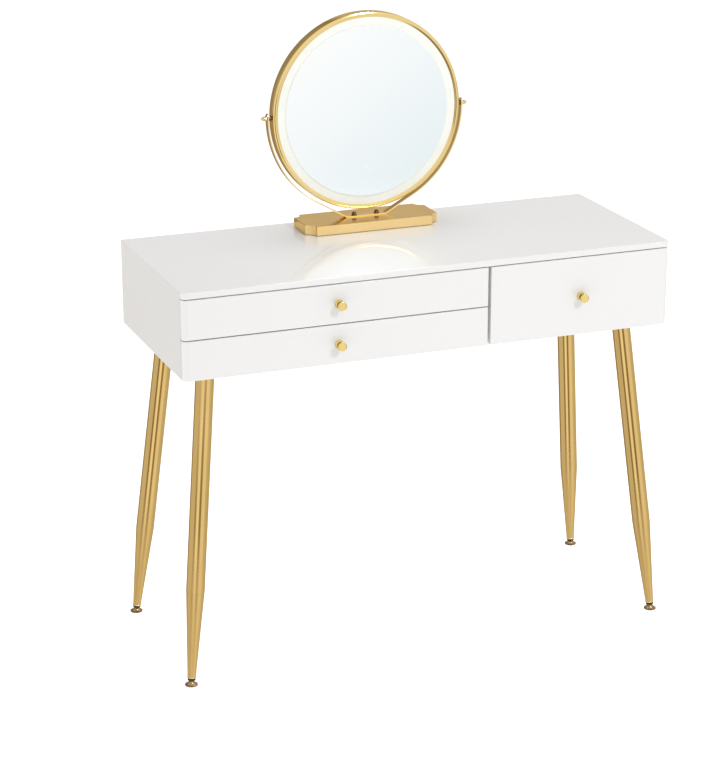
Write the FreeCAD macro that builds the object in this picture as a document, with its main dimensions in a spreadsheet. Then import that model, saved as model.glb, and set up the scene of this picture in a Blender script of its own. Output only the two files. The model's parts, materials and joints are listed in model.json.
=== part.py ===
import FreeCAD, Part
import math
import os
import Sketcher

# Vanity table with three drawers and a free-standing, tilting, lit mirror.
# The origin is on the floor under the middle of the whole object's footprint.
# X runs along the table, the drawers open towards -Y, and Z is up. Millimetres.

SIZES = [
    ("desk_width", 1000, "table, left to right"),
    ("desk_depth", 400, "table, front faces to back"),
    ("desk_height", 790, "floor to tabletop"),
    ("case_height", 170, "drawer case with its top"),
    ("knob_length", 20, "drawer knob, out of the front"),
    ("top_thickness", 12, "tabletop board"),
    ("side_thickness", 15, "end boards"),
    ("bottom_thickness", 12, "case floor"),
    ("partition_thickness", 15, "board between the drawer bays"),
    ("partition_x", 115, "middle of that board"),
    ("back_thickness", 9, "case back"),
    ("front_thickness", 15, "drawer fronts"),
    ("reveal", 2, "gap above and between the fronts"),
    ("end_reveal", 1, "gap behind the fronts"),
    ("divider_gap", 6, "gap between left and right fronts"),
    ("corner_radius", 10, "upright front corners"),
    ("top_edge_radius", 1.5, "eased edge of the tabletop"),
    ("front_edge_radius", 1, "eased edge of the fronts"),
    ("runner_thickness", 12.7, "side runner, closed"),
    ("runner_height", 35, "side runner"),
    ("runner_length", 300, "side runner, closed"),
    ("runner_sheet", 1.2, "runner steel"),
    ("runner_play", 1, "between runner members"),
    ("runner_setback", 5, "runner behind the case edge"),
    ("box_board", 12, "drawer sides and back"),
    ("box_base", 4, "drawer bottom"),
    ("box_length", 330, "drawer box behind its front"),
    ("shallow_box", 55, "left drawer boxes, high"),
    ("deep_box", 120, "right drawer box, high"),
    ("lower_box_lift", 8, "lower left box above the case floor"),
    ("upper_box_drop", 9, "upper left box below the fronts' top"),
    ("deep_box_lift", 12, "right box above the case floor"),
    ("groove_depth", 5, "drawer bottom into sides and front"),
    ("groove_height", 8, "groove above the lower edge"),
    ("knob_face_radius", 8.75, "drawer knob"),
    ("knob_stem_radius", 7.2, "drawer knob"),
    ("knob_foot_radius", 6.4, "drawer knob at the front"),
    ("knob_foot", 1.5, "drawer knob, straight foot"),
    ("knob_head", 4.6, "drawer knob, thickness of its head"),
    ("knob_edge_radius", 0.8, "drawer knob, edges of its head"),
    ("knob_groove", 1, "groove behind the head, flat part"),
    ("knob_groove_depth", 1.1, "groove behind the head"),
    ("knob_groove_slope", 0.4, "sloped sides of that groove"),
    ("knob_band", 1.1, "drawer knob, straight band behind the groove"),
    ("screw_radius", 2, "knob screw"),
    ("screw_head_radius", 4, "knob screw"),
    ("screw_head", 2.5, "knob screw head"),
    ("cam_radius", 7.5, "cam lock"),
    ("cam_depth", 11, "cam lock"),
    ("cam_offset", 24, "cam lock from the joint"),
    ("fitting_radius", 3, "cam bolts and dowels"),
    ("fitting_depth", 8, "bolt or dowel in the far board"),
    ("dowel_length", 30, "dowel"),
    ("fitting_front", 60, "first fitting behind the case edge"),
    ("fitting_spacing", 240, "fittings, front to back"),
    ("dowel_offset", 54, "dowel from its cam bolt"),
    ("leg_radius", 18, "leg tube"),
    ("leg_end_radius", 8, "leg tube at its end"),
    ("leg_taper", 175, "tapered stretch"),
    ("leg_wall", 1.5, "leg tube"),
    ("leg_splay", 8, "degrees from upright, on the diagonal"),
    ("leg_top_x", 435, "leg axis under the case"),
    ("leg_top_y", 126, "leg axis from the table's middle"),
    ("leg_end_height", 15, "leg end above the floor"),
    ("plate_side", 84, "leg plate"),
    ("plate_thickness", 3, "leg plate"),
    ("plate_screw_radius", 2, "leg plate screw"),
    ("plate_screw_head", 2.4, "leg plate screw, countersunk head"),
    ("plate_screw_head_radius", 4, "leg plate screw, countersunk head"),
    ("plate_screw_length", 10, "leg plate screw in the board"),
    ("plate_screw_place", 34, "leg plate screw from the middle"),
    ("collar_radius", 7.75, "threaded collar in the leg end"),
    ("collar_height", 5, "collar below the tube"),
    ("collar_plug", 14, "collar inside the tube"),
    ("collar_bevel", 0.5, "collar, lower edge"),
    ("stem_radius", 4, "leveller stem"),
    ("fit_play", 0.05, "radial play of a running fit"),
    ("stem_length", 32, "leveller stem"),
    ("foot_radius", 12.25, "leveller foot"),
    ("foot_height", 8.6, "leveller foot"),
    ("foot_neck_radius", 5, "leveller foot at its top"),
    ("foot_bevel", 0.8, "leveller foot, lower edge"),
    ("foot_rim", 2.2, "leveller foot, top of its rim"),
    ("foot_flare_radius", 9, "leveller foot, hollow curve above the rim"),
    ("foot_shoulder", 1.6, "leveller foot, shoulder beyond its neck"),
    ("foot_neck_height", 2, "leveller foot, neck above the shoulder"),
    ("foot_neck_curve", 3, "leveller foot, hollow curve of the neck"),
    ("mirror_x", -11, "mirror, middle"),
    ("mirror_y", 142, "mirror, middle plane"),
    ("pivot_height", 1023, "tilt axis above the floor"),
    ("ring_radius", 197, "mirror frame"),
    ("ring_depth", 25, "mirror frame, front to back"),
    ("ring_wall", 2, "mirror frame"),
    ("ring_edge", 0.8, "mirror frame, bevelled edges"),
    ("lip_width", 9.5, "front lip of the frame"),
    ("lip_bevel", 1, "inner edge of that lip"),
    ("diffuser_thickness", 3, "frosted ring"),
    ("diffuser_inner", 166, "frosted ring, inner radius"),
    ("glass_radius", 171.5, "mirror glass"),
    ("glass_thickness", 2.8, "mirror glass"),
    ("glass_sink", 1, "mirror glass let into the frosted ring"),
    ("glass_bevel", 0.8, "mirror glass, front edge"),
    ("cover_thickness", 2.5, "back cover"),
    ("cover_inset", 0.5, "back cover inside the frame's back edge"),
    ("cover_rim", 5, "back cover, lowered rim"),
    ("cover_step", 0.8, "back cover, step down to its rim"),
    ("led_radius", 184, "ring of lamps"),
    ("led_board_width", 12, "lamp board"),
    ("board_thickness", 1.6, "circuit boards"),
    ("led_side", 3, "lamp"),
    ("led_height", 1, "lamp"),
    ("board_width", 70, "control board and battery"),
    ("board_below", 8, "control board below the socket's middle"),
    ("board_above", 40, "control board above the socket's middle"),
    ("battery_thickness", 9, "battery"),
    ("battery_height", 50, "battery"),
    ("battery_drop", 10, "battery's top below the tilt axis"),
    ("socket_width", 9, "charging socket"),
    ("socket_height", 3.4, "charging socket"),
    ("socket_wall", 0.5, "charging socket"),
    ("socket_drop", 150, "charging socket below the tilt axis"),
    ("yoke_gap", 7, "yoke to frame"),
    ("yoke_thickness", 2.5, "yoke strap"),
    ("yoke_width", 14, "yoke strap"),
    ("yoke_bend", 29.2, "degrees, slope of the yoke's straight arms"),
    ("yoke_tab", 3, "yoke end's centre above the tilt axis"),
    ("yoke_bolt_place", 24, "yoke bolt from the middle"),
    ("yoke_bolt_radius", 2.5, "yoke bolt"),
    ("yoke_bolt_depth", 11, "yoke bolt in the base"),
    ("yoke_nut_radius", 4.6, "yoke bolt's cap"),
    ("yoke_nut_side", 4, "yoke bolt's cap, top of its straight side"),
    ("yoke_nut_dome", 3, "yoke bolt's cap, dome"),
    ("yoke_nut_flange", 1, "yoke bolt's flange, thickness and overhang"),
    ("stud_radius", 2.5, "pivot stud"),
    ("stud_reach", 16, "pivot stud out of the frame"),
    ("stud_root", 3, "pivot stud inside the frame's wall"),
    ("spacer_radius", 4.5, "pivot spacer"),
    ("spacer_sink", 1, "pivot spacer let into the frame"),
    ("spacer_flange", 1.2, "pivot spacer, flange at the yoke"),
    ("spacer_groove", 0.8, "pivot spacer, groove behind the flange"),
    ("spacer_groove_depth", 1, "pivot spacer, that groove"),
    ("spacer_slope", 0.5, "pivot spacer, sloped side of that groove"),
    ("running_gap", 0.3, "between parts that turn past each other"),
    ("pivot_knob_radius", 4.8, "pivot knob"),
    ("pivot_knob_length", 11, "pivot knob"),
    ("pivot_knob_bevel", 0.8, "pivot knob, both edges of its band"),
    ("pivot_knob_band", 3.2, "pivot knob, outer end of its band"),
    ("pivot_knob_waist_radius", 4.1, "pivot knob beyond its band"),
    ("pivot_knob_waist", 5, "pivot knob, outer end of its waist"),
    ("pivot_knob_side_radius", 10.5, "pivot knob, curve from waist to tip"),
    ("pivot_knob_tip_radius", 2.5, "pivot knob, rim of its tip"),
    ("pivot_knob_tip", 1.2, "pivot knob, dome of its tip"),
    ("base_x", -10, "mirror base, middle"),
    ("base_width", 282, "mirror base"),
    ("base_depth", 103, "mirror base"),
    ("base_height", 18.5, "mirror base"),
    ("base_notch", 18, "hollow corner of the base, radius"),
    ("base_edge", 0.8, "chamfer of the base's top edge"),
    ("base_wall", 8, "mirror base, roof and corner walls"),
    ("base_side_wall", 6, "mirror base, straight walls"),
    ("base_boss_depth", 28, "solid part under the yoke, front to back"),
    ("base_pad_length", 14, "pad under the base"),
    ("base_pad_width", 5.6, "pad under the base"),
    ("base_pad_inset", 4.2, "pad's middle inside the base's edge"),
    ("base_pad", 1, "pad, below the base"),
]

LED_COUNT = 36
SMALL = 0.01

doc = FreeCAD.newDocument("vanity_table")
sheet = doc.addObject("Spreadsheet::Sheet", "Sizes")
for row, (alias, number, note) in enumerate(SIZES, start=1):
    sheet.set(f"A{row}", note)
    sheet.set(f"B{row}", str(number))
    sheet.setAlias(f"B{row}", alias)
doc.recompute()

nodes = []


class Dim:
    """A length worked out from the sheet: its value now, and the formula that binds it."""

    def __init__(self, value, formula):
        self.value = value
        self.formula = formula

    def joined(self, other, sign, value):
        return Dim(value, f"({self.formula} {sign} {other.formula})")

    def __add__(self, other):
        other = dim(other)
        return self.joined(other, "+", self.value + other.value)

    def __sub__(self, other):
        other = dim(other)
        return self.joined(other, "-", self.value - other.value)

    def __mul__(self, other):
        other = dim(other)
        return self.joined(other, "*", self.value * other.value)

    def __truediv__(self, other):
        other = dim(other)
        return self.joined(other, "/", self.value / other.value)

    def __radd__(self, other):
        return dim(other) + self

    def __rsub__(self, other):
        return dim(other) - self

    def __rmul__(self, other):
        return dim(other) * self

    def __neg__(self):
        return dim(0) - self


def dim(number):
    return number if isinstance(number, Dim) else Dim(float(number), f"({float(number)})")


def cell(alias):
    return Dim(float(sheet.get(alias)), f"Sizes.{alias}")


def sine(angle):
    return Dim(math.sin(math.radians(angle.value)), f"sin({angle.formula} * 1 deg)")


def cosine(angle):
    return Dim(math.cos(math.radians(angle.value)), f"cos({angle.formula} * 1 deg)")


def bind(target, path, number):
    """Binds one property or constraint of an object to the sheet."""
    target.setExpression(path, dim(number).formula)


def place(target, at, axis=(0, 0, 1), turn=0, angle=None):
    """Puts an object at a bound point, turned about an axis."""
    vector = FreeCAD.Vector(*[dim(number).value for number in at])
    degrees = angle.value if angle else turn
    target.Placement = FreeCAD.Placement(vector, FreeCAD.Rotation(FreeCAD.Vector(*axis), degrees))
    for letter, number in zip("xyz", at):
        bind(target, f"Placement.Base.{letter}", number)
    if angle:
        bind(target, "Placement.Rotation.Angle", angle)


def node(name, item):
    """Names a finished sub-part and lists it for export."""
    item.Label = name
    nodes.append(item)
    return item


def box(name, low, high):
    item = doc.addObject("Part::Box", name)
    for side, start, end in zip(("Length", "Width", "Height"), low, high):
        length = dim(end) - dim(start)
        setattr(item, side, length.value)
        bind(item, side, length)
    place(item, low)
    return item


TURNS = {"x": ((0, 1, 0), 90), "y": ((1, 0, 0), -90), "z": ((0, 0, 1), 0)}


def cylinder(name, start, radius, length, along="z"):
    item = doc.addObject("Part::Cylinder", name)
    bind(item, "Radius", radius)
    bind(item, "Height", length)
    axis, turn = TURNS[along]
    place(item, start, axis, turn)
    return item


def group(name, items):
    item = doc.addObject("Part::Compound", name)
    item.Links = items
    return item


def fused(name, items):
    item = doc.addObject("Part::MultiFuse", name)
    item.Shapes = items
    return item


def cut(name, base, tool):
    item = doc.addObject("Part::Cut", name)
    item.Base = base
    item.Tool = tool
    return item


def mirrored(name, source, at_x):
    item = doc.addObject("Part::Mirroring", name)
    item.Source = source
    item.Normal = FreeCAD.Vector(1, 0, 0)
    item.Base = FreeCAD.Vector(at_x.value, 0, 0)
    bind(item, "Base.x", at_x)
    return item


def new_sketch(body, name, plane):
    flat = [f for f in body.Origin.OriginFeatures if f.Role == plane][0]
    sketch = body.newObject("Sketcher::SketchObject", name)
    sketch.AttachmentSupport = [(flat, "")]
    sketch.MapMode = "FlatFace"
    return sketch


def bound_constraint(sketch, kind, *where, number):
    index = sketch.addConstraint(Sketcher.Constraint(kind, *where, dim(number).value))
    bind(sketch, f"Constraints[{index}]", number)


def arc_between(start, end, radius):
    """An arc from start to end that bulges to the right of the way for a positive radius."""
    half = (end - start) * 0.5
    side = FreeCAD.Vector(half.y, -half.x, 0).normalize()
    sagitta = abs(radius) - math.sqrt(radius * radius - half.Length * half.Length)
    top = start + half + side * math.copysign(sagitta, radius)
    return Part.Arc(start, top, end)


def outline(sketch, points):
    """A closed outline of lines, with an arc where a point has a third number, its radius.

    The arc runs from the point before to that point.
    """
    places = [FreeCAD.Vector(dim(p[0]).value, dim(p[1]).value, 0) for p in points]
    count = len(points)
    for index in range(count):
        end = (index + 1) % count
        if len(points[end]) == 3:
            arc = arc_between(places[index], places[end], dim(points[end][2]).value)
            sketch.addGeometry(arc)
        else:
            sketch.addGeometry(Part.LineSegment(places[index], places[end]))
    ends = []
    for index in range(count):
        first = sketch.getPoint(index, 1)
        ends.append((1, 2) if (first - places[index]).Length < SMALL else (2, 1))
    for index in range(count):
        following = (index + 1) % count
        where = (index, ends[index][1], following, ends[following][0])
        sketch.addConstraint(Sketcher.Constraint("Coincident", *where))
    for index, point in enumerate(points):
        start = ends[index][0]
        bound_constraint(sketch, "DistanceX", -1, 1, index, start, number=point[0])
        bound_constraint(sketch, "DistanceY", -1, 1, index, start, number=point[1])
        if len(point) == 3:
            before = (index - 1) % count
            radius = point[2] if dim(point[2]).value > 0 else -point[2]
            bound_constraint(sketch, "Radius", before, number=radius)


def cap_radius(radius, height):
    """The radius of a domed cap, from the radius of its rim and its height."""
    return (radius * radius + height * height) / (height * 2)


def rectangle(width, depth):
    return [
        (-width * 0.5, -depth * 0.5),
        (width * 0.5, -depth * 0.5),
        (width * 0.5, depth * 0.5),
        (-width * 0.5, depth * 0.5),
    ]


def pad(body, sketch, length):
    feature = body.newObject("PartDesign::Pad", "Pad")
    feature.Profile = sketch
    bind(feature, "Length", length)
    sketch.Visibility = False
    doc.recompute()
    return feature


def edges_where(feature, wanted):
    return [f"Edge{n}" for n, edge in enumerate(feature.Shape.Edges, start=1) if wanted(edge)]


def dressed(body, kind, base, edges, size):
    """A fillet or a chamfer of a body's edges."""
    feature = body.newObject(f"PartDesign::{kind}", kind)
    feature.Base = (base, edges)
    bind(feature, "Radius" if kind == "Fillet" else "Size", size)
    doc.recompute()
    return feature


def upright(edge):
    extent = edge.BoundBox
    return extent.ZLength > SMALL and extent.XLength < SMALL and extent.YLength < SMALL


def turned(name, points, at=(0, 0, 0), axis=(0, 0, 1), turn=0, angle=None):
    """A body turned about its own Z axis from an outline of radius and height."""
    body = doc.addObject("PartDesign::Body", name)
    sketch = new_sketch(body, f"{name}_outline", "XZ_Plane")
    outline(sketch, points)
    feature = body.newObject("PartDesign::Revolution", f"{name}_turned")
    feature.Profile = sketch
    feature.ReferenceAxis = (sketch, ["V_Axis"])
    feature.Angle = 360
    place(body, at, axis, turn, angle)
    return body


# --- places that several sub-parts share ---

front_y = (cell("knob_length") - cell("desk_depth")) * 0.5
back_y = front_y + cell("desk_depth")
middle_y = (front_y + back_y) * 0.5
end_x = cell("desk_width") * 0.5
top_z = cell("desk_height")
case_top = top_z - cell("top_thickness")
case_floor = top_z - cell("case_height")
front_back_y = front_y + cell("front_thickness")
case_front_y = front_back_y + cell("end_reveal")
bay_floor = case_floor + cell("bottom_thickness")
bay_back_y = back_y - cell("back_thickness")
side_inner = end_x - cell("side_thickness")
partition_left = cell("partition_x") - cell("partition_thickness") * 0.5
partition_right = cell("partition_x") + cell("partition_thickness") * 0.5


# --- the case ---

def top_board():
    """The tabletop blank, with rounded upright front corners and an eased top edge."""
    width = cell("desk_width")
    depth = cell("desk_depth")
    thickness = cell("top_thickness")
    body = doc.addObject("PartDesign::Body", "top_blank")
    sketch = new_sketch(body, "top_plan", "XY_Plane")
    outline(sketch, [(-width * 0.5, 0), (width * 0.5, 0), (width * 0.5, depth), (-width * 0.5, depth)])
    blank = pad(body, sketch, thickness)
    corners = edges_where(blank, lambda edge: upright(edge) and edge.BoundBox.YMax < SMALL)
    blank = dressed(body, "Fillet", blank, corners, cell("corner_radius"))
    top = thickness.value - SMALL
    back = depth.value - SMALL
    eased = edges_where(blank, lambda edge: edge.BoundBox.ZMin > top and edge.BoundBox.YMin < back)
    dressed(body, "Fillet", blank, eased, cell("top_edge_radius"))
    place(body, (0, front_y, case_top))
    return body


def drawer_front_blank(name, left, right, low, high, outer_left, outer_right):
    """A drawer front, with a large upright radius at the case's own corner and eased edges."""
    body = doc.addObject("PartDesign::Body", name)
    sketch = new_sketch(body, f"{name}_plan", "XY_Plane")
    thickness = cell("front_thickness")
    width = right - left
    outline(sketch, [(0, 0), (width, 0), (width, thickness), (0, thickness)])
    blank = pad(body, sketch, high - low)

    def case_corner(edge):
        x = edge.BoundBox.XMin
        wanted = (outer_left and x < SMALL) or (outer_right and x > width.value - SMALL)
        return upright(edge) and edge.BoundBox.YMax < SMALL and wanted

    blank = dressed(body, "Fillet", blank, edges_where(blank, case_corner), cell("corner_radius"))
    inner = thickness.value - SMALL

    def face_edge(edge):
        beside_corner = upright(edge) and edge.BoundBox.YMax > SMALL
        return edge.BoundBox.YMin < SMALL and edge.BoundBox.YMax < inner and not beside_corner

    dressed(body, "Fillet", blank, edges_where(blank, face_edge), cell("front_edge_radius"))
    place(body, (left, front_y, low))
    return body


def fitting_rows():
    first = case_front_y + cell("fitting_front")
    return [first, first + cell("fitting_spacing")]


def cam_fittings():
    """Cam locks in the uprights and in the case floor, each with its bolt."""
    items = []
    reach = cell("cam_offset") - cell("cam_radius") + cell("fitting_depth")
    floor_bolts = (-side_inner - cell("fitting_depth"), side_inner + cell("fitting_depth") - reach)
    middle = case_floor + cell("bottom_thickness") * 0.5
    uprights = [
        (-side_inner - cell("cam_depth"), -end_x + cell("side_thickness") * 0.5),
        (side_inner, end_x - cell("side_thickness") * 0.5),
        (partition_right - cell("cam_depth"), cell("partition_x")),
    ]
    for y in fitting_rows():
        for lock_x, bolt_x in uprights:
            lock = (lock_x, y, case_top - cell("cam_offset"))
            items.append(cylinder("cam", lock, cell("cam_radius"), cell("cam_depth"), "x"))
            foot = case_top + cell("fitting_depth") - reach
            items.append(cylinder("cam_bolt", (bolt_x, y, foot), cell("fitting_radius"), reach))
        for side, start in zip((-1, 1), floor_bolts):
            lock = (side * (side_inner - cell("cam_offset")), y, bay_floor - cell("cam_depth"))
            items.append(cylinder("cam", lock, cell("cam_radius"), cell("cam_depth")))
            items.append(cylinder("cam_bolt", (start, y, middle), cell("fitting_radius"), reach, "x"))
    return node("cam_fittings", group("cam_fittings", items))


def wood_dowels():
    """Dowels beside the cam bolts, and under the partition."""
    items = []
    length = cell("dowel_length")
    board_middle = end_x - cell("side_thickness") * 0.5
    uprights = (-board_middle, board_middle, cell("partition_x"))
    floor_dowels = (-side_inner - cell("fitting_depth"), side_inner + cell("fitting_depth") - length)
    middle = case_floor + cell("bottom_thickness") * 0.5
    for cam_y in fitting_rows():
        y = cam_y + cell("dowel_offset")
        for x in uprights:
            foot = case_top + cell("fitting_depth") - length
            items.append(cylinder("dowel", (x, y, foot), cell("fitting_radius"), length))
        foot = bay_floor - cell("fitting_depth")
        items.append(cylinder("dowel", (cell("partition_x"), y, foot), cell("fitting_radius"), length))
        for start in floor_dowels:
            items.append(cylinder("dowel", (start, y, middle), cell("fitting_radius"), length, "x"))
    return node("wood_dowels", group("wood_dowels", items))


def case_boards(fasteners):
    """The boards of the case, drilled for their fasteners."""
    spans = {
        "bottom_panel": ((-side_inner, case_floor), (side_inner, bay_floor), back_y),
        "left_side_panel": ((-end_x, case_floor), (-side_inner, case_top), back_y),
        "right_side_panel": ((side_inner, case_floor), (end_x, case_top), back_y),
        "centre_partition": ((partition_left, bay_floor), (partition_right, case_top), bay_back_y),
    }
    node("top_panel", cut("top_panel", top_board(), fasteners))
    for name, ((left, low), (right, high), rear) in spans.items():
        board = box(f"{name}_blank", (left, case_front_y, low), (right, rear, high))
        node(name, cut(name, board, fasteners))
    back = box("back_panel", (-side_inner, bay_back_y, bay_floor), (side_inner, back_y, case_top))
    node("back_panel", back)


# --- legs and levellers ---

leg_spread = sine(cell("leg_splay")) / cosine(cell("leg_splay")) * math.sqrt(0.5)
CORNERS = {
    "front_left": (-1, -1),
    "front_right": (1, -1),
    "back_left": (-1, 1),
    "back_right": (1, 1),
}


def leg_axis_point(corner, height):
    """Where a leg's axis passes a height above the floor."""
    side, depth = CORNERS[corner]
    drop = (case_floor - height) * leg_spread
    x = side * (cell("leg_top_x") + drop)
    y = middle_y + depth * (cell("leg_top_y") + drop)
    return (x, y, dim(height))


def lean(corner):
    """The axis that a leg leans about, for a turn of the splay."""
    side, depth = CORNERS[corner]
    return (depth, -side, 0)


def leg(corner):
    wall = cell("leg_wall")
    length = (case_floor - cell("leg_end_height")) / cosine(cell("leg_splay")) + 2 * cell("leg_wall")
    points = [
        (cell("leg_end_radius") - wall, 0),
        (cell("leg_end_radius"), 0),
        (cell("leg_radius"), cell("leg_taper")),
        (cell("leg_radius"), length),
        (cell("leg_radius") - wall, length),
        (cell("leg_radius") - wall, cell("leg_taper")),
    ]
    end = leg_axis_point(corner, cell("leg_end_height"))
    tube = turned(f"leg_tube_{corner}", points, end, lean(corner), angle=cell("leg_splay"))
    reach = cell("leg_radius") * 2
    above = case_floor - cell("plate_thickness")
    x, y, _ = leg_axis_point(corner, case_floor)
    trim = box(f"leg_trim_{corner}", (x - reach, y - reach, above), (x + reach, y + reach, above + reach))
    node(f"leg_{corner}", cut(f"leg_{corner}", tube, trim))


def leg_plate_screw(x, y):
    radius = cell("plate_screw_radius")
    under = case_floor - cell("plate_thickness")
    length = cell("plate_thickness") + cell("plate_screw_length")
    points = [
        (0, 0),
        (cell("plate_screw_head_radius"), 0),
        (radius, cell("plate_screw_head")),
        (radius, length - radius),
        (0, length),
    ]
    return turned("plate_screw", points, (x, y, under))


def leg_plates():
    """Steel plates that the legs are welded to, and their countersunk screws."""
    half = cell("plate_side") * 0.5
    far = cell("plate_screw_place")
    plates = []
    screws = []
    for corner in CORNERS:
        x, y, _ = leg_axis_point(corner, case_floor)
        low = (x - half, y - half, case_floor - cell("plate_thickness"))
        plates.append(box("plate", low, (x + half, y + half, case_floor)))
        screws += [leg_plate_screw(x + i * far, y + j * far) for i in (-1, 1) for j in (-1, 1)]
    screw_group = node("leg_plate_screws", group("leg_plate_screws", screws))
    node("leg_plates", cut("leg_plates", group("leg_plate_blanks", plates), screw_group))
    return screw_group


def leg_foot_collars():
    """Threaded collars pressed into the leg ends."""
    bore = cell("stem_radius")
    plug = cell("leg_end_radius") - cell("leg_wall")
    points = [
        (bore, -cell("collar_height")),
        (cell("collar_radius") - cell("collar_bevel"), -cell("collar_height")),
        (cell("collar_radius"), cell("collar_bevel") - cell("collar_height")),
        (cell("collar_radius"), 0),
        (plug, 0),
        (plug, cell("collar_plug")),
        (bore, cell("collar_plug")),
    ]
    items = []
    for corner in CORNERS:
        end = leg_axis_point(corner, cell("leg_end_height"))
        items.append(turned("collar", points, end, lean(corner), angle=cell("leg_splay")))
    node("leg_foot_collars", group("leg_foot_collars", items))


def leveller(corner):
    """A screw-in foot: a bell-shaped glide on a threaded stem in line with the leg."""
    foot = cell("foot_radius")
    neck = cell("foot_neck_radius")
    height = cell("foot_height")
    shoulder = neck + cell("foot_shoulder")
    glide_points = [
        (0, 0),
        (foot - cell("foot_bevel"), 0),
        (foot, cell("foot_bevel")),
        (foot, cell("foot_rim")),
        (shoulder, height - cell("foot_neck_height"), -cell("foot_flare_radius")),
        (neck, height, -cell("foot_neck_curve")),
        (0, height),
    ]
    middle = leg_axis_point(corner, height * 0.5)
    glide = turned(f"glide_{corner}", glide_points, (middle[0], middle[1], 0))
    stem_points = [
        (0, 0),
        (cell("stem_radius") - cell("fit_play"), 0),
        (cell("stem_radius") - cell("fit_play"), cell("stem_length")),
        (0, cell("stem_length")),
    ]
    start = leg_axis_point(corner, height * 0.5)
    stem = turned(f"stem_{corner}", stem_points, start, lean(corner), angle=cell("leg_splay"))
    node(f"leveller_{corner}", fused(f"leveller_{corner}", [glide, stem]))


# --- drawers ---

def channel(name, web_x, lip_x, half_height, middle_z, start_y):
    """A U-shaped runner member: a web at web_x and two lips that reach to lip_x."""
    sheet_thickness = cell("runner_sheet")
    inward = 1 if lip_x.value > web_x.value else -1
    y = (start_y, start_y + cell("runner_length"))
    web_low, web_high = (web_x, web_x + sheet_thickness) if inward > 0 else (web_x - sheet_thickness, web_x)
    lip_low, lip_high = (web_x, lip_x) if inward > 0 else (lip_x, web_x)
    bottom = middle_z - half_height
    top = middle_z + half_height
    parts = [
        box(f"{name}_web", (web_low, y[0], bottom), (web_high, y[1], top)),
        box(f"{name}_lip", (lip_low, y[0], bottom), (lip_high, y[1], bottom + sheet_thickness)),
        box(f"{name}_lip", (lip_low, y[0], top - sheet_thickness), (lip_high, y[1], top)),
    ]
    return fused(name, parts)


def runner_members(wall_x, inward, middle_z):
    """The cabinet, middle and drawer members of one side runner."""
    play = cell("runner_play")
    sheet_thickness = cell("runner_sheet")
    start_y = case_front_y + cell("runner_setback")
    depth = cell("runner_thickness")
    ball_track = play * 1.5
    half = cell("runner_height") * 0.5
    middle_half = half - sheet_thickness - ball_track
    drawer_half = middle_half - sheet_thickness - ball_track
    middle_web = sheet_thickness + play
    spans = {
        "cabinet_member": (dim(0), depth - play * 3, half),
        "middle_member": (middle_web, depth - sheet_thickness - play * 0.5, middle_half),
        "drawer_member": (depth, middle_web + sheet_thickness + play, drawer_half),
    }
    members = []
    for name, (web, lip, half_height) in spans.items():
        web_x = wall_x + inward * web
        members.append(channel(name, web_x, wall_x + inward * lip, half_height, middle_z, start_y))
    return members


def drawer_knob(name, x, z):
    """A turned knob with a groove behind its face, and the screw that holds it."""
    face = cell("knob_face_radius")
    stem = cell("knob_stem_radius")
    length = cell("knob_length")
    round_edge = cell("knob_edge_radius")
    head_back = length - cell("knob_head")
    groove_radius = stem - cell("knob_groove_depth")
    groove_front = head_back - cell("knob_groove_slope")
    groove_back = groove_front - cell("knob_groove")
    band_front = groove_back - cell("knob_groove_slope")
    knob_points = [
        (0, 0),
        (cell("knob_foot_radius"), 0),
        (cell("knob_foot_radius"), cell("knob_foot")),
        (stem, band_front - cell("knob_band")),
        (stem, band_front),
        (groove_radius, groove_back),
        (groove_radius, groove_front),
        (face - round_edge, head_back),
        (face, head_back + round_edge, round_edge),
        (face, length - round_edge),
        (face - round_edge, length, round_edge),
        (0, length),
    ]
    screw_points = [
        (0, -cell("front_thickness") - cell("screw_head")),
        (cell("screw_head_radius"), -cell("front_thickness") - cell("screw_head")),
        (cell("screw_head_radius"), -cell("front_thickness")),
        (cell("screw_radius"), -cell("front_thickness")),
        (cell("screw_radius"), length * 0.5),
        (0, length * 0.5),
    ]
    knob = turned(f"{name}_knob_blank", knob_points, (x, front_y, z), (1, 0, 0), 90)
    screw = turned(f"{name}_knob_screw", screw_points, (x, front_y, z), (1, 0, 0), 90)
    node(f"{name}_knob_screw", screw)
    node(f"{name}_knob", cut(f"{name}_knob", knob, screw))
    return screw


def drawer(name, bay, front_x, front_z, box_low, box_height, corners):
    """One drawer: its front, box, knob and runner members. Returns its cabinet members."""
    run = cell("runner_thickness")
    board = cell("box_board")
    left, right = bay[0] + run, bay[1] - run
    rear = front_back_y + cell("box_length")
    base_low = box_low + cell("groove_height")
    base_high = base_low + cell("box_base")
    groove = cell("groove_depth")
    box_high = box_low + box_height

    base_left = left + board - groove
    base_right = right - board + groove
    base = box(f"{name}_bottom", (base_left, front_back_y - groove, base_low), (base_right, rear, base_high))
    node(f"{name}_bottom", base)
    screw = drawer_knob(name, (front_x[0] + front_x[1]) * 0.5, (front_z[0] + front_z[1]) * 0.5)
    front = drawer_front_blank(f"{name}_front_blank", *front_x, *front_z, *corners)
    node(f"{name}_front", cut(f"{name}_front", front, group(f"{name}_front_cuts", [base, screw])))
    for side, low_x, high_x in (("left", left, left + board), ("right", right - board, right)):
        blank = box(f"{name}_{side}_blank", (low_x, front_back_y, box_low), (high_x, rear, box_high))
        node(f"{name}_{side}_side", cut(f"{name}_{side}_side", blank, base))
    back = box(f"{name}_back", (left + board, rear - board, base_high), (right - board, rear, box_high))
    node(f"{name}_back", back)

    middle_z = box_low + box_height * 0.5
    cabinet_left, middle_left, drawer_left = runner_members(bay[0], 1, middle_z)
    cabinet_right, middle_right, drawer_right = runner_members(bay[1], -1, middle_z)
    node(f"{name}_runners", group(f"{name}_runners", [drawer_left, drawer_right]))
    node(f"{name}_middle_runners", group(f"{name}_middle_runners", [middle_left, middle_right]))
    return [cabinet_left, cabinet_right]


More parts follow.
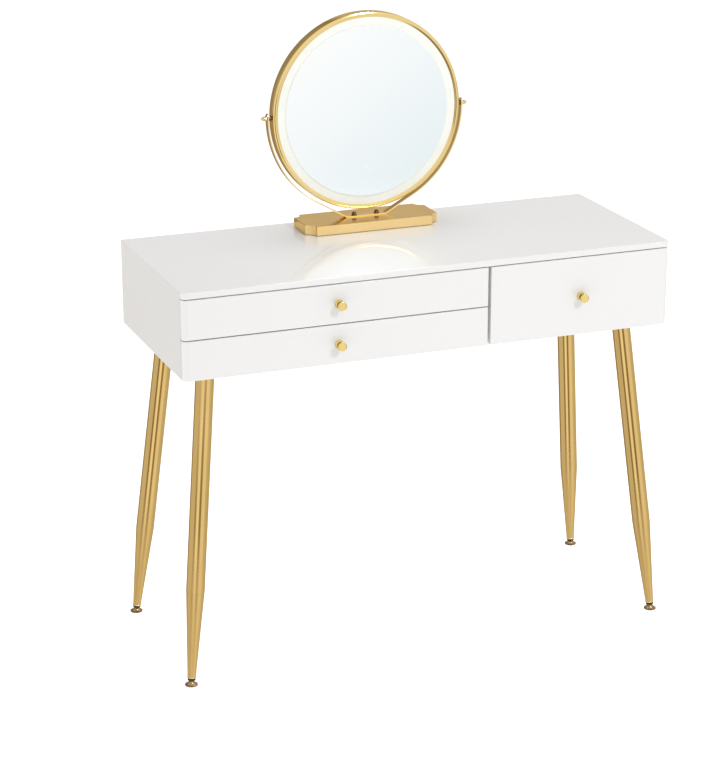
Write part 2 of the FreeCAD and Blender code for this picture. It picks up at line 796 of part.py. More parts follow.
def drawers():
    gap = cell("divider_gap") * 0.5
    fronts_top = case_top - cell("reveal")
    half_height = (fronts_top - case_floor - cell("reveal")) * 0.5
    left_bay = (-side_inner, partition_left)
    right_bay = (partition_right, side_inner)
    left_front = (-end_x, cell("partition_x") - gap)
    right_front = (cell("partition_x") + gap, end_x)
    lower_z = (case_floor, case_floor + half_height)
    upper_z = (fronts_top - half_height, fronts_top)
    tall_z = (case_floor, fronts_top)
    shallow = cell("shallow_box")
    lower_box = bay_floor + cell("lower_box_lift")
    upper_box = fronts_top - cell("upper_box_drop") - shallow
    tall_box = bay_floor + cell("deep_box_lift")
    cabinet = []
    cabinet += drawer("upper_left", left_bay, left_front, upper_z, upper_box, shallow, (True, False))
    cabinet += drawer("lower_left", left_bay, left_front, lower_z, lower_box, shallow, (True, False))
    cabinet += drawer("right", right_bay, right_front, tall_z, tall_box, cell("deep_box"), (False, True))
    node("runner_cabinet_members", group("runner_cabinet_members", cabinet))


# --- the mirror ---

mirror_x = cell("mirror_x")
mirror_y = cell("mirror_y")
pivot_z = cell("pivot_height")
mirror_front_y = mirror_y - cell("ring_depth") * 0.5
base_low_z = top_z + cell("base_pad")
base_top_z = base_low_z + cell("base_height")


def head_ring(name, points):
    """A ring or disc of the mirror head: radius, and height over the frame's front."""
    return turned(name, points, (mirror_x, mirror_front_y, pivot_z), (1, 0, 0), 90)


def pivot_studs():
    """Fixed studs at both ends of the tilt axis, each with its spacer."""
    reach = cell("ring_radius")
    shank = cell("stud_radius")
    spacer = cell("spacer_radius")
    stud_start = reach - cell("ring_wall") - cell("stud_root")
    stud_end = reach + cell("stud_reach")
    spacer_start = reach - cell("spacer_sink")
    spacer_end = reach + cell("yoke_gap") - cell("running_gap")
    groove_radius = spacer - cell("spacer_groove_depth")
    groove_end = spacer_end - cell("spacer_flange")
    groove_start = groove_end - cell("spacer_groove")
    points = [
        (0, stud_start),
        (shank, stud_start),
        (shank, spacer_start),
        (spacer, spacer_start),
        (spacer, groove_start - cell("spacer_slope")),
        (groove_radius, groove_start),
        (groove_radius, groove_end),
        (spacer, groove_end),
        (spacer, spacer_end),
        (shank, spacer_end),
        (shank, stud_end),
        (0, stud_end),
    ]
    at = (mirror_x, mirror_y, pivot_z)
    studs = [turned("stud", points, at, (0, 1, 0), turn) for turn in (90, -90)]
    return node("pivot_studs", group("pivot_studs", studs))


def pivot_knob(name, turn):
    start = cell("ring_radius") + cell("yoke_gap") + cell("yoke_thickness") + cell("running_gap")
    end = start + cell("pivot_knob_length")
    radius = cell("pivot_knob_radius")
    bevel = cell("pivot_knob_bevel")
    band_end = start + cell("pivot_knob_band")
    waist = cell("pivot_knob_waist_radius")
    tip_radius = cell("pivot_knob_tip_radius")
    tip = cell("pivot_knob_tip")
    bore = cell("stud_radius") + cell("fit_play")
    bore_end = cell("ring_radius") + cell("stud_reach") + cell("running_gap")
    points = [
        (bore, start),
        (radius - bevel, start),
        (radius, start + bevel),
        (radius, band_end),
        (waist, band_end + bevel),
        (waist, start + cell("pivot_knob_waist")),
        (tip_radius, end - tip, cell("pivot_knob_side_radius")),
        (0, end, cap_radius(tip_radius, tip)),
        (0, bore_end),
        (bore, bore_end),
    ]
    knob = turned(name, points, (mirror_x, mirror_y, pivot_z), (0, 1, 0), turn)
    node(name, knob)


def mirror_head():
    """The tilting head: frame, frosted ring, glass, back cover and electronics."""
    outer = cell("ring_radius")
    wall = cell("ring_wall")
    depth = cell("ring_depth")
    lip_inner = outer - cell("lip_width")
    seat = outer - wall
    bevel = cell("ring_edge")
    frame_points = [
        (lip_inner, -wall),
        (lip_inner + cell("lip_bevel"), 0),
        (outer - bevel, 0),
        (outer, -bevel),
        (outer, bevel - depth),
        (outer - bevel, -depth),
        (seat, -depth),
        (seat, -wall),
    ]
    studs = pivot_studs()
    frame = head_ring("frame_blank", frame_points)
    node("mirror_frame", cut("mirror_frame", frame, studs))
    diffuser_back = wall + cell("diffuser_thickness")
    glass_radius = cell("glass_radius")
    glass_bevel = cell("glass_bevel")
    glass_back = wall + cell("glass_sink")
    glass_front = glass_back - cell("glass_thickness")
    diffuser_points = [
        (cell("diffuser_inner"), -diffuser_back),
        (seat, -diffuser_back),
        (seat, -wall),
        (glass_radius, -wall),
        (glass_radius, -glass_back),
        (cell("diffuser_inner"), -glass_back),
    ]
    node("light_diffuser", head_ring("light_diffuser", diffuser_points))
    glass_points = [
        (0, -glass_back),
        (glass_radius, -glass_back),
        (glass_radius, -glass_front - glass_bevel),
        (glass_radius - glass_bevel, -glass_front),
        (0, -glass_front),
    ]
    node("mirror_glass", head_ring("mirror_glass", glass_points))
    cover_back = depth - cell("cover_inset")
    cover_front = cover_back - cell("cover_thickness")
    step = cell("cover_step")
    rim = seat - cell("cover_rim")
    cover_points = [
        (0, -cover_back),
        (rim - step, -cover_back),
        (rim, step - cover_back),
        (seat, step - cover_back),
        (seat, -cover_front),
        (0, -cover_front),
    ]
    cover = head_ring("cover_blank", cover_points)
    electronics, socket = mirror_electronics(cover_front, cover_back)
    node("mirror_back_cover", cut("mirror_back_cover", cover, socket))
    node("mirror_electronics", electronics)


def mirror_electronics(cover_front, cover_back):
    """The lamp ring and control board on the back cover, with the battery and socket."""
    board_back_y = mirror_front_y + cover_front
    board_front_y = board_back_y - cell("board_thickness")
    socket_back_y = mirror_front_y + cover_back
    half_width = cell("led_board_width") * 0.5
    led_radius = cell("led_radius")
    board_start = cover_front - cell("board_thickness")
    ring_points = [
        (led_radius - half_width, -cover_front),
        (led_radius + half_width, -cover_front),
        (led_radius + half_width, -board_start),
        (led_radius - half_width, -board_start),
    ]
    items = [head_ring("led_board", ring_points)]
    half = cell("led_side") * 0.5
    for number in range(LED_COUNT):
        turn = 2 * math.pi * number / LED_COUNT
        x = mirror_x + led_radius * math.cos(turn)
        z = pivot_z + led_radius * math.sin(turn)
        low = (x - half, board_front_y - cell("led_height"), z - half)
        items.append(box("lamp", low, (x + half, board_front_y, z + half)))

    left = mirror_x - cell("board_width") * 0.5
    right = mirror_x + cell("board_width") * 0.5
    socket_z = pivot_z - cell("socket_drop")
    board_low = (left, board_front_y, socket_z - cell("board_below"))
    board_high = (right, board_back_y, socket_z + cell("board_above"))
    items.append(box("control_board", board_low, board_high))
    battery_top = pivot_z - cell("battery_drop")
    battery_low = (left, board_back_y - cell("battery_thickness"), battery_top - cell("battery_height"))
    items.append(box("battery", battery_low, (right, board_back_y, battery_top)))

    wide = cell("socket_width") * 0.5
    tall = cell("socket_height") * 0.5
    wall = cell("socket_wall")
    shell = box(
        "socket_shell",
        (mirror_x - wide, board_back_y, socket_z - tall),
        (mirror_x + wide, socket_back_y, socket_z + tall),
    )
    mouth = box(
        "socket_mouth",
        (mirror_x - wide + wall, board_back_y + wall, socket_z - tall + wall),
        (mirror_x + wide - wall, socket_back_y + wall, socket_z + tall - wall),
    )
    items.append(cut("socket", shell, mouth))
    return group("mirror_electronics", items), shell


def half_yoke():
    """The right half of the yoke strap, from its rounded end to the middle of its foot."""
    inner = cell("ring_radius") + cell("yoke_gap")
    thickness = cell("yoke_thickness")
    outer = inner + thickness
    width = cell("yoke_width")
    bend = cell("yoke_bend")
    near_y = mirror_y - width * 0.5
    foot = pivot_z - base_top_z

    hoop = cylinder("yoke_hoop", (mirror_x, near_y, pivot_z), outer, width, "y")
    hoop.Angle = 90 - bend.value
    bind(hoop, "Angle", 90 - bend)
    hollow = cylinder("yoke_hollow", (mirror_x, near_y, pivot_z), inner, width, "y")
    band = cut("yoke_band", hoop, hollow)
    tab_top = pivot_z + cell("yoke_tab")
    tab = box(
        "yoke_tab_plate",
        (mirror_x + inner, near_y, pivot_z),
        (mirror_x + outer, near_y + width, tab_top),
    )
    tab_end = cylinder("yoke_tab_end", (mirror_x + inner, mirror_y, tab_top), width * 0.5, thickness, "x")
    arm_length = (foot - outer * cosine(bend)) / sine(bend)
    arm_x = outer * sine(bend) - arm_length * cosine(bend)
    arm = doc.addObject("Part::Box", "yoke_arm")
    bind(arm, "Length", arm_length)
    bind(arm, "Width", width)
    bind(arm, "Height", thickness)
    place(arm, (mirror_x + arm_x, near_y, base_top_z), (0, -1, 0), angle=bend)
    flat = box(
        "yoke_flat",
        (mirror_x, near_y, base_top_z),
        (mirror_x + arm_x, near_y + width, base_top_z + thickness),
    )
    return fused("yoke_right", [band, tab, tab_end, arm, flat])


def yoke_bolts():
    """Two cap bolts through the yoke's foot into the base."""
    lid = cell("yoke_thickness")
    cap = cell("yoke_nut_radius")
    cap_side = lid + cell("yoke_nut_side")
    dome = cell("yoke_nut_dome")
    flange = cell("yoke_nut_flange")
    shank = cell("yoke_bolt_radius")
    points = [
        (0, -cell("yoke_bolt_depth")),
        (shank, -cell("yoke_bolt_depth")),
        (shank, lid),
        (cap + flange, lid),
        (cap + flange, lid + flange),
        (cap, lid + flange),
        (cap, cap_side),
        (0, cap_side + dome, cap_radius(cap, dome)),
    ]
    bolts = []
    for side in (-1, 1):
        at = (mirror_x + side * cell("yoke_bolt_place"), mirror_y, base_top_z)
        bolts.append(turned("yoke_bolt", points, at))
    return node("yoke_bolts", group("yoke_bolts", bolts))


def yoke(bolts):
    right = half_yoke()
    left = mirrored("yoke_left", right, mirror_x)
    strap = fused("yoke_strap", [right, left])
    reach = cell("ring_radius") + cell("stud_reach")
    hole_radius = cell("stud_radius") + cell("fit_play")
    pivot_hole = cylinder("pivot_hole", (mirror_x - reach, mirror_y, pivot_z), hole_radius, reach * 2, "x")
    node("yoke", cut("yoke", cut("yoke_bored", strap, pivot_hole), bolts))


def mirror_base(bolts):
    """A weighted plate with hollow corners, open below, with a chamfered top edge."""
    width = cell("base_width")
    depth = cell("base_depth")
    height = cell("base_height")
    notch = cell("base_notch")
    body = doc.addObject("PartDesign::Body", "base_blank")
    plan = new_sketch(body, "base_plan", "XY_Plane")
    outline(plan, rectangle(width, depth))
    blank = pad(body, plan, height)
    corners = new_sketch(body, "base_corners", "XY_Plane")
    for index, (x, y) in enumerate(rectangle(width, depth)):
        middle = FreeCAD.Vector(x.value, y.value, 0)
        corners.addGeometry(Part.Circle(middle, FreeCAD.Vector(0, 0, 1), notch.value))
        bound_constraint(corners, "DistanceX", -1, 1, index, 3, number=x)
        bound_constraint(corners, "DistanceY", -1, 1, index, 3, number=y)
        bound_constraint(corners, "Radius", index, number=notch)
    notched = body.newObject("PartDesign::Pocket", "base_notches")
    notched.Profile = corners
    notched.Midplane = True
    bind(notched, "Length", height * 3)
    doc.recompute()
    top_edges = edges_where(notched, lambda e: e.BoundBox.ZMin > height.value - SMALL)
    dressed(body, "Chamfer", notched, top_edges, cell("base_edge"))
    place(body, (cell("base_x"), mirror_y, base_low_z))

    x = cell("base_x")
    side_wall = cell("base_side_wall")
    corner_room = notch + cell("base_wall")
    roof = base_low_z + height - cell("base_wall")
    bays = []
    for name, half_x, half_y in (
        ("long", width * 0.5 - corner_room, depth * 0.5 - side_wall),
        ("wide", width * 0.5 - side_wall, depth * 0.5 - corner_room),
    ):
        low = (x - half_x, mirror_y - half_y, base_low_z)
        bays.append(box(f"base_hollow_{name}", low, (x + half_x, mirror_y + half_y, roof)))
    boss_x = cell("yoke_bolt_place") + cell("yoke_nut_radius") * 2
    boss_y = cell("base_boss_depth") * 0.5
    boss_low = (mirror_x - boss_x, mirror_y - boss_y, base_low_z)
    boss = box("base_boss", boss_low, (mirror_x + boss_x, mirror_y + boss_y, roof))
    room = cut("base_room", fused("base_hollow", bays), boss)
    shell = cut("base_shell", body, room)
    node("mirror_base", cut("mirror_base", shell, bolts))


def mirror_base_pads():
    """Thin pads under the long walls of the mirror base."""
    half_length = cell("base_pad_length") * 0.5
    half_width = cell("base_pad_width") * 0.5
    far_x = cell("base_width") * 0.5 - cell("base_side_wall") * 0.5 - cell("base_notch") - half_length
    far_y = cell("base_depth") * 0.5 - cell("base_pad_inset")
    pads = []
    for side in (-1, 1):
        for depth_side in (-1, 1):
            x = cell("base_x") + side * far_x
            y = mirror_y + depth_side * far_y
            low = (x - half_length, y - half_width, top_z)
            pads.append(box("base_pad", low, (x + half_length, y + half_width, base_low_z)))
    node("mirror_base_pads", group("mirror_base_pads", pads))


def build():
    cams = cam_fittings()
    dowels = wood_dowels()
    plate_screws = leg_plates()
    case_boards(group("case_fasteners", [cams, dowels, plate_screws]))
    leg_foot_collars()
    for corner in CORNERS:
        leg(corner)
        leveller(corner)
    drawers()
    bolts = yoke_bolts()
    mirror_base(bolts)
    mirror_base_pads()
    yoke(bolts)
    mirror_head()
    pivot_knob("right_pivot_knob", 90)
    pivot_knob("left_pivot_knob", -90)
    doc.recompute()


def check():
    """Stops if any object failed, or any sub-part is empty or not valid."""
    for item in doc.Objects:
        bad = [state for state in item.State if state in ("Invalid", "Error")]
        if bad:
            raise RuntimeError(f"{item.Label} is {bad}")
    for item in nodes:
        if item.Shape.isNull() or not item.Shape.isValid() or item.Shape.Volume < SMALL:
            raise RuntimeError(f"{item.Label} has no valid shape")


def export():
    os.makedirs("parts", exist_ok=True)
    for item in nodes:
        item.Shape.exportStep(f"parts/{item.Label}.step")
    print(f"{len(nodes)} sub-parts written")


build()
check()
export()
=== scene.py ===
import json
import math

import bpy
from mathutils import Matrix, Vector


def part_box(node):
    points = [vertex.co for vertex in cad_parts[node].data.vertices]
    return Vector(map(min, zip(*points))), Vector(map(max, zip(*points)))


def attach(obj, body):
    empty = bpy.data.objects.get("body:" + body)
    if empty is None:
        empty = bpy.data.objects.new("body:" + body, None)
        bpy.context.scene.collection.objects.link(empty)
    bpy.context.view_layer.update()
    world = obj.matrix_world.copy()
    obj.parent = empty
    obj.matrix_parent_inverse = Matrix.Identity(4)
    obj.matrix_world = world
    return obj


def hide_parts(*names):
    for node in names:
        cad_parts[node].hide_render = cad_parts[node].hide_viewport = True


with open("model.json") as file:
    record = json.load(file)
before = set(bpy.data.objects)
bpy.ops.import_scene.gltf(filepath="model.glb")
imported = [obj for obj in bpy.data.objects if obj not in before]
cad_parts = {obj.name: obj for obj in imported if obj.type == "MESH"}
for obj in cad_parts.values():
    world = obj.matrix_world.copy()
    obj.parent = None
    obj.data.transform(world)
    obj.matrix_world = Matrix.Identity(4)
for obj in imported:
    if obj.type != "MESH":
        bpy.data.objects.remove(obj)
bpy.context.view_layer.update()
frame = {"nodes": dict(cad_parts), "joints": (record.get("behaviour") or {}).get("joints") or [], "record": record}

# The looks of the vanity table: node materials, finer pieces, camera, light and floor.
# Metres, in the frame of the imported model: X along the table, the drawers open towards -Y.

CORNERS = ("front_left", "front_right", "back_left", "back_right")
DRAWERS = ("upper_left", "lower_left", "right")


# --- materials ---

class Look:
    """A node material built around one Principled shader."""

    def __init__(self, name, **settings):
        self.material = bpy.data.materials.new(name)
        self.material.use_nodes = True
        self.tree = self.material.node_tree
        self.shader = self.tree.nodes["Principled BSDF"]
        for socket, value in settings.items():
            self.shader.inputs[socket.replace("_", " ")].default_value = value
        self.places = self.tree.nodes.new("ShaderNodeTexCoord").outputs["Object"]

    def node(self, kind, **values):
        made = self.tree.nodes.new(kind)
        for name, value in values.items():
            setattr(made, name, value)
        return made

    def link(self, source, target):
        self.tree.links.new(source, target)

    def mapped(self, stretch=(1, 1, 1)):
        mapping = self.node("ShaderNodeMapping")
        mapping.inputs["Scale"].default_value = stretch
        self.link(self.places, mapping.inputs["Vector"])
        return mapping.outputs["Vector"]

    def noise(self, scale, detail, stretch=(1, 1, 1)):
        noise = self.node("ShaderNodeTexNoise")
        noise.inputs["Scale"].default_value = scale
        noise.inputs["Detail"].default_value = detail
        self.link(self.mapped(stretch), noise.inputs["Vector"])
        return noise.outputs["Fac"]

    def ranged(self, source, low, high, start=0.3, end=0.7):
        spread = self.node("ShaderNodeMapRange")
        for name, value in (("From Min", start), ("From Max", end), ("To Min", low), ("To Max", high)):
            spread.inputs[name].default_value = value
        self.link(source, spread.inputs["Value"])
        return spread.outputs["Result"]

    def tint(self, source, dark, light, start=0.3, end=0.7):
        mix = self.node("ShaderNodeMix", data_type="RGBA")
        self.link(self.ranged(source, 0.0, 1.0, start, end), mix.inputs["Factor"])
        mix.inputs["A"].default_value = (*dark, 1)
        mix.inputs["B"].default_value = (*light, 1)
        return mix.outputs["Result"]

    def color(self, source):
        self.link(source, self.shader.inputs["Base Color"])

    def roughness(self, source, low, high, start=0.3, end=0.7):
        self.link(self.ranged(source, low, high, start, end), self.shader.inputs["Roughness"])

    def bump(self, source, height, strength):
        """Gives the surface relief, height metres deep."""
        bump = self.node("ShaderNodeBump")
        bump.inputs["Strength"].default_value = strength
        bump.inputs["Distance"].default_value = height
        self.link(source, bump.inputs["Height"])
        self.link(bump.outputs["Normal"], self.shader.inputs["Normal"])


def lacquer(name, dark, light):
    """Sprayed gloss lacquer over board: faint mottling and orange peel."""
    look = Look(name, Coat_Weight=0.7, Coat_Roughness=0.05, Coat_IOR=1.5, IOR=1.46)
    look.color(look.tint(look.noise(5.0, 2.0), dark, light, 0.2, 0.8))
    look.roughness(look.noise(35.0, 2.0), 0.3, 0.36)
    look.bump(look.noise(380.0, 2.0), 0.00001, 0.6)
    return look.material


def melamine(name, dark, light):
    """Satin melamine on board, with a fine pressed grain along the board."""
    look = Look(name, IOR=1.5)
    look.color(look.tint(look.noise(14.0, 4.0, (1, 0.25, 4)), dark, light))
    look.roughness(look.noise(240.0, 3.0, (1, 0.1, 1)), 0.38, 0.52)
    look.bump(look.noise(900.0, 3.0, (1, 0.08, 1)), 0.00006, 0.6)
    return look.material


# the tint that gold plating keeps where it is seen edge on
GRAZING_GOLD = (1.0, 0.87, 0.64, 1)


def plated(name, dark, light, rough, grain=0.000003, stretch=(1, 1, 1)):
    """Gold-coloured plating: a soft drift of tone, fine brushing along the stretch, small wear."""
    look = Look(name, Metallic=1.0, Specular_Tint=GRAZING_GOLD)
    look.color(look.tint(look.noise(12.0, 2.0, (1, 1, 0.4)), dark, light, 0.2, 0.8))
    look.roughness(look.noise(500.0, 3.0, stretch), rough[0], rough[1])
    look.bump(look.noise(1100.0, 2.0, stretch), grain, 0.5)
    return look.material


# heights on a leg between which its satin lower end turns bright
SATIN_TOP = 0.13
BRIGHT_START = 0.32


def leg_gold():
    """Leg plating: bright and drawn lengthwise above the taper, satin below it."""
    look = Look("brushed_gold", Metallic=1.0, Specular_Tint=GRAZING_GOLD)
    drift = look.noise(12.0, 2.0, (1, 1, 0.4))
    look.color(look.tint(drift, (0.72, 0.49, 0.18), (0.8, 0.56, 0.22), 0.2, 0.8))
    height = look.node("ShaderNodeSeparateXYZ")
    look.link(look.places, height.inputs["Vector"])
    look.roughness(height.outputs["Z"], 0.42, 0.13, SATIN_TOP, BRIGHT_START)
    look.bump(look.noise(900.0, 1.0, (1, 1, 0.01)), 0.0000006, 0.5)
    return look.material


def plain_metal(name, dark, light, rough):
    """Zinc plating or a dark finish: small crystals in tone and roughness."""
    look = Look(name, Metallic=1.0)
    spots = look.node("ShaderNodeTexVoronoi")
    spots.inputs["Scale"].default_value = 380.0
    look.link(look.mapped(), spots.inputs["Vector"])
    look.color(look.tint(spots.outputs["Distance"], dark, light, 0.1, 0.8))
    look.roughness(look.noise(500.0, 3.0), rough[0], rough[1])
    look.bump(look.noise(700.0, 3.0), 0.00003, 0.5)
    return look.material


def moulded(name, dark, light, rough):
    """Moulded plastic or rubber with a fine spark-eroded grain."""
    look = Look(name, IOR=1.48)
    look.color(look.tint(look.noise(30.0, 3.0), dark, light))
    look.roughness(look.noise(300.0, 2.0), rough[0], rough[1])
    look.bump(look.noise(1400.0, 3.0), 0.00005, 0.6)
    return look.material


def beech():
    """Raw beech: long grain and short dark flecks."""
    look = Look("beech", IOR=1.45)
    look.color(look.tint(look.noise(90.0, 5.0, (1, 1, 0.12)), (0.46, 0.29, 0.15), (0.66, 0.46, 0.28)))
    look.roughness(look.noise(200.0, 3.0, (1, 1, 0.1)), 0.55, 0.75)
    look.bump(look.noise(600.0, 4.0, (1, 1, 0.05)), 0.0001, 0.6)
    return look.material


# the way that the mirror's painted reflection deepens, down and to the right
REFLECTION_SLOPE = (0.62, 0.0, -0.78)


def mirror_silver():
    """Silvered glass with a slight cool tint, and a painted reflection in its colour: pale to cool, deepest low on
    the right.
    """
    low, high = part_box("mirror_glass")
    radius = (high.x - low.x) * 0.5
    centre = ((low + high) * 0.5).dot(Vector(REFLECTION_SLOPE))
    pale = (0.98, 0.995, 0.995)
    cool = (0.81, 0.885, 0.905)
    look = Look("mirror_silver", Metallic=1.0, Specular_IOR_Level=0.5)
    slope = look.node("ShaderNodeVectorMath", operation="DOT_PRODUCT")
    look.link(look.places, slope.inputs[0])
    slope.inputs[1].default_value = REFLECTION_SLOPE
    # painted reflection: the colour runs from pale to cool across the glass
    look.color(look.tint(slope.outputs["Value"], pale, cool, centre - radius, centre + radius))
    look.roughness(look.noise(12.0, 3.0), 0.16, 0.2)
    return look.material


def frosted_light():
    """Frosted acrylic lit from behind: white at the top, warmer towards the bottom."""
    low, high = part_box("light_diffuser")
    look = Look("frosted_light", IOR=1.49, Emission_Strength=0.41, Roughness=0.42)
    look.color(look.tint(look.noise(40.0, 2.0), (0.52, 0.515, 0.49), (0.56, 0.555, 0.53)))
    height = look.node("ShaderNodeSeparateXYZ")
    look.link(look.places, height.inputs["Vector"])
    glow = look.tint(height.outputs["Z"], (0.98, 1.0, 0.86), (0.96, 1.0, 0.92), low.z, high.z)
    look.link(glow, look.shader.inputs["Emission Color"])
    look.bump(look.noise(2200.0, 2.0), 0.00001, 0.5)
    return look.material


def etched_glass():
    """The touch switch's etching, faintly lit from behind."""
    look = Look("etched", IOR=1.5, Emission_Strength=0.12)
    look.color(look.tint(look.noise(800.0, 2.0), (0.8, 0.84, 0.85), (0.9, 0.92, 0.93)))
    look.shader.inputs["Emission Color"].default_value = (1, 1, 1, 1)
    look.roughness(look.noise(900.0, 2.0), 0.5, 0.6)
    return look.material


def circuit_board():
    look = Look("circuit_board", IOR=1.5)
    cells = look.node("ShaderNodeTexVoronoi", distance="CHEBYCHEV")
    cells.inputs["Scale"].default_value = 260.0
    look.link(look.mapped(), cells.inputs["Vector"])
    look.color(look.tint(cells.outputs["Distance"], (0.02, 0.12, 0.06), (0.05, 0.22, 0.11), 0.1, 0.6))
    look.roughness(look.noise(200.0, 2.0), 0.3, 0.5)
    look.bump(cells.outputs["Distance"], 0.0001, 0.5)
    return look.material


MATERIALS = {
    "white_lacquer": lacquer("white_lacquer", (0.79, 0.785, 0.778), (0.805, 0.801, 0.795)),
    "drawer_board": melamine("drawer_board", (0.7, 0.69, 0.67), (0.78, 0.77, 0.75)),
    "beech": beech(),
    "zinc_steel": plain_metal("zinc_steel", (0.46, 0.47, 0.48), (0.7, 0.71, 0.72), (0.29, 0.42)),
    "brushed_gold": leg_gold(),
    "satin_gold": plated(
        "satin_gold", (0.84, 0.6, 0.27), (0.92, 0.68, 0.32), (0.17, 0.22),
        grain=0.000004, stretch=(0.03, 1, 1),
    ),
    "polished_gold": plated("polished_gold", (0.8, 0.6, 0.25), (0.88, 0.68, 0.31), (0.07, 0.12)),
    "bronze": plated("bronze", (0.3, 0.2, 0.1), (0.56, 0.4, 0.22), (0.06, 0.1)),
    "dark_bronze": plain_metal("dark_bronze", (0.1, 0.07, 0.035), (0.24, 0.17, 0.08), (0.16, 0.24)),
    "dark_collar": moulded("dark_collar", (0.012, 0.011, 0.01), (0.03, 0.028, 0.025), (0.35, 0.5)),
    "pad_rubber": moulded("pad_rubber", (0.02, 0.02, 0.02), (0.04, 0.04, 0.04), (0.7, 0.85)),
    "frosted_acrylic": frosted_light(),
    "mirror_silver": mirror_silver(),
    "cover_plastic": moulded("cover_plastic", (0.7, 0.69, 0.66), (0.73, 0.72, 0.69), (0.35, 0.45)),
    "circuit_board": circuit_board(),
    # a paler, smoother satin gold for the yoke: painted highlight
    "yoke_highlight_gold": plated("yoke_highlight_gold", (0.84, 0.66, 0.36), (0.92, 0.75, 0.46), (0.1, 0.15)),
    "knob_gold": plated("knob_gold", (0.82, 0.62, 0.2), (0.9, 0.7, 0.26), (0.05, 0.08)),
    # a paler gold for the leg lips: painted highlight on their rolled edge
    "highlight_gold": plated("highlight_gold", (0.9, 0.72, 0.42), (0.96, 0.8, 0.5), (0.1, 0.16)),
    "glass_edge": moulded("glass_edge", (0.86, 0.9, 0.87), (0.92, 0.96, 0.93), (0.15, 0.22)),
    "etched": etched_glass(),
}


def dress_cad_nodes():
    """Gives every CAD node the node material of its slot in the record, and the yoke a paler copy of its satin
    gold as a painted highlight.
    """
    for part in frame["record"]["subparts"]:
        for slot in frame["nodes"][part["node"]].material_slots:
            slot.material = MATERIALS[part["material_slot"]]
    frame["nodes"]["yoke"].material_slots[0].material = MATERIALS["yoke_highlight_gold"]


# --- camera, light and floor ---

CAMERA_PLACE = (-1.7482, -4.2821, 2.0685)
CAMERA_HEADING = math.radians(21.396)
CAMERA_DROP = math.radians(18.882)
CAMERA_LENS = 113.47


def make_camera():
    """Stands left of the front, looking down a little at the table."""
    data = bpy.data.cameras.new("camera")
    data.lens = CAMERA_LENS
    data.sensor_width = 36.0
    data.clip_end = 50.0
    camera = bpy.data.objects.new("camera", data)
    camera.location = CAMERA_PLACE
    camera.rotation_euler = (math.pi / 2 - CAMERA_DROP, 0, -CAMERA_HEADING)
    bpy.context.scene.collection.objects.link(camera)
    bpy.context.scene.camera = camera


# what the lamps point at, a little under the tabletop
LIGHT_AIM = Vector((0, 0, 0.7))


def soft_box(name, place, size, power, reflected):
    """A square area light that faces the table."""
    data = bpy.data.lights.new(name, "AREA")
    data.size = size
    data.energy = power
    lamp = bpy.data.objects.new(name, data)
    lamp.location = place
    lamp.rotation_euler = (LIGHT_AIM - Vector(place)).to_track_quat("-Z", "Y").to_euler()
    lamp.visible_glossy = reflected
    bpy.context.scene.collection.objects.link(lamp)


# what polished metal sees round the studio, by compass angle in degrees from +X
LIT = (1.0, 1.0, 1.0)
STRIP = (1.15, 1.15, 1.12)
WALL = (0.74, 0.73, 0.71)
BACK = (0.6, 0.59, 0.58)
SHADE = (0.3, 0.25, 0.19)
BROWN = (0.36, 0.32, 0.28)
STUDIO_RING = (
    (-180, WALL), (-162, WALL), (-156, SHADE), (-142, SHADE), (-134, STRIP), (-110, STRIP), (-104, SHADE),
    (-86, SHADE), (-78, LIT), (-44, LIT), (-30, WALL), (40, BACK), (78, BACK), (86, SHADE), (98, BROWN),
    (122, BROWN), (134, WALL), (180, WALL),
)
# the even light that matt surfaces get from the studio
STUDIO_AMBIENT = (0.56, 0.555, 0.55)


def make_world():
    """White to the eye, even for diffuse light, and light and dark panels for reflections."""
    world = bpy.data.worlds.new("studio")
    world.use_nodes = True
    world.cycles.sampling_method = "NONE"
    bpy.context.scene.world = world
    tree = world.node_tree
    link = tree.links.new
    sky = tree.nodes["Background"]
    panels = tree.nodes.new("ShaderNodeTexGradient")
    panels.gradient_type = "RADIAL"
    places = tree.nodes.new("ShaderNodeTexCoord").outputs["Generated"]
    link(places, panels.inputs["Vector"])
    ring = tree.nodes.new("ShaderNodeValToRGB")
    link(panels.outputs["Fac"], ring.inputs["Fac"])
    stops = ring.color_ramp.elements
    stops.remove(stops[1])
    for angle, tone in STUDIO_RING:
        stop = stops[0] if angle == -180 else stops.new(angle / 360 + 0.5)
        stop.color = (*tone, 1)

    def blended(factor, below, above):
        mix = tree.nodes.new("ShaderNodeMix")
        mix.data_type = "RGBA"
        link(factor, mix.inputs["Factor"])
        link(below, mix.inputs["A"])
        mix.inputs["B"].default_value = (*above, 1)
        return mix.outputs["Result"]

    def between(source, start, end):
        spread = tree.nodes.new("ShaderNodeMapRange")
        spread.inputs["From Min"].default_value = start
        spread.inputs["From Max"].default_value = end
        link(source, spread.inputs["Value"])
        return spread.outputs["Result"]

    # the panels in front stand low, and the studio over them is plain
    direction = tree.nodes.new("ShaderNodeSeparateXYZ")
    link(places, direction.inputs["Vector"])
    over = tree.nodes.new("ShaderNodeMath")
    over.operation = "MULTIPLY"
    link(between(direction.outputs["Z"], start=-0.12, end=-0.06), over.inputs[0])
    link(between(direction.outputs["Y"], start=-0.2, end=-0.5), over.inputs[1])
    chosen = blended(over.outputs["Value"], ring.outputs["Color"], LIT)
    path = tree.nodes.new("ShaderNodeLightPath")
    chosen = blended(path.outputs["Is Diffuse Ray"], chosen, STUDIO_AMBIENT)
    chosen = blended(path.outputs["Is Camera Ray"], chosen, (1, 1, 1))
    link(chosen, sky.inputs["Color"])


def make_light():
    """A soft key high on the right of the front, a fill from the left and one from above."""
    bpy.context.scene.view_settings.view_transform = "Standard"
    soft_box("key", (1.2, -3.0, 3.1), size=0.55, power=40.0, reflected=True)
    soft_box("fill", (-4.0, 0.5, 1.3), size=2.0, power=34.0, reflected=False)
    soft_box("top", (0.3, 0.5, 3.6), size=2.0, power=38.0, reflected=False)


